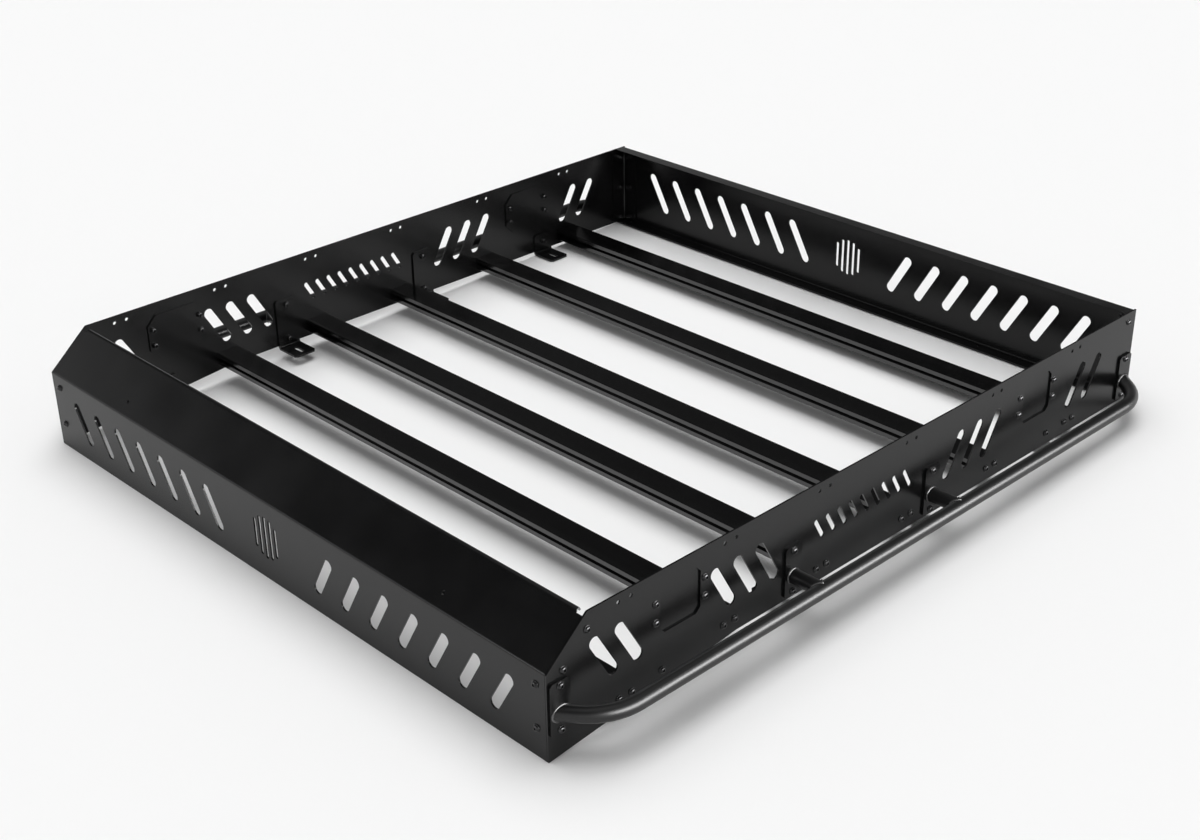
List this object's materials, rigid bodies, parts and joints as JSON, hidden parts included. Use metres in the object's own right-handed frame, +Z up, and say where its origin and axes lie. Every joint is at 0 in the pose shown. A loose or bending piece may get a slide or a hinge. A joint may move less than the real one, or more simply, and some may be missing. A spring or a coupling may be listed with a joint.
{
  "type": "vehicle roof rack basket",
  "caption": "Flat black roof rack: slotted folded-sheet walls with a sloped front deflector round ribbed T-slot crossbars, with a bent tube rail along each side.",
  "frame": {"origin": "middle of the overall box, at the height of the front bottom edge, which is the lowest point", "axes": "+X across the rack, to the right seen from in front of it; +Y from the front deflector to the rear wall; +Z up"},
  "size_m": [1.4944, 1.486, 0.216],
  "materials": {
    "sheet": "satin black powder coat",
    "bar": "black anodised extrusion",
    "tube": "satin black powder coat"
  },
  "bodies": {
    "root": {"front_fascia": "sheet", "rear_wall": "sheet", "crossbar_1": "bar", "crossbar_2": "bar", "crossbar_3": "bar", "crossbar_4": "bar", "crossbar_5": "bar", "crossbar_6": "bar", "left_side_wall": "sheet", "left_front_cover_plate": "sheet", "left_rear_cover_plate": "sheet", "left_front_corner_angle": "sheet", "left_rear_corner_angle": "sheet", "left_side_rail": "tube", "left_rail_front_plate": "sheet", "left_rail_mid_plate_1": "sheet", "left_rail_mid_plate_2": "sheet", "left_rail_rear_plate": "sheet", "left_rail_stub_1": "tube", "left_rail_stub_2": "tube", "left_front_foot": "sheet", "left_mid_foot_1": "sheet", "left_mid_foot_2": "sheet", "left_rear_foot": "sheet", "right_side_wall": "sheet", "right_front_cover_plate": "sheet", "right_rear_cover_plate": "sheet", "right_front_corner_angle": "sheet", "right_rear_corner_angle": "sheet", "right_side_rail": "tube", "right_rail_front_plate": "sheet", "right_rail_mid_plate_1": "sheet", "right_rail_mid_plate_2": "sheet", "right_rail_rear_plate": "sheet", "right_rail_stub_1": "tube", "right_rail_stub_2": "tube", "right_front_foot": "sheet", "right_mid_foot_1": "sheet", "right_mid_foot_2": "sheet", "right_rear_foot": "sheet"}
  },
  "joints": []
}
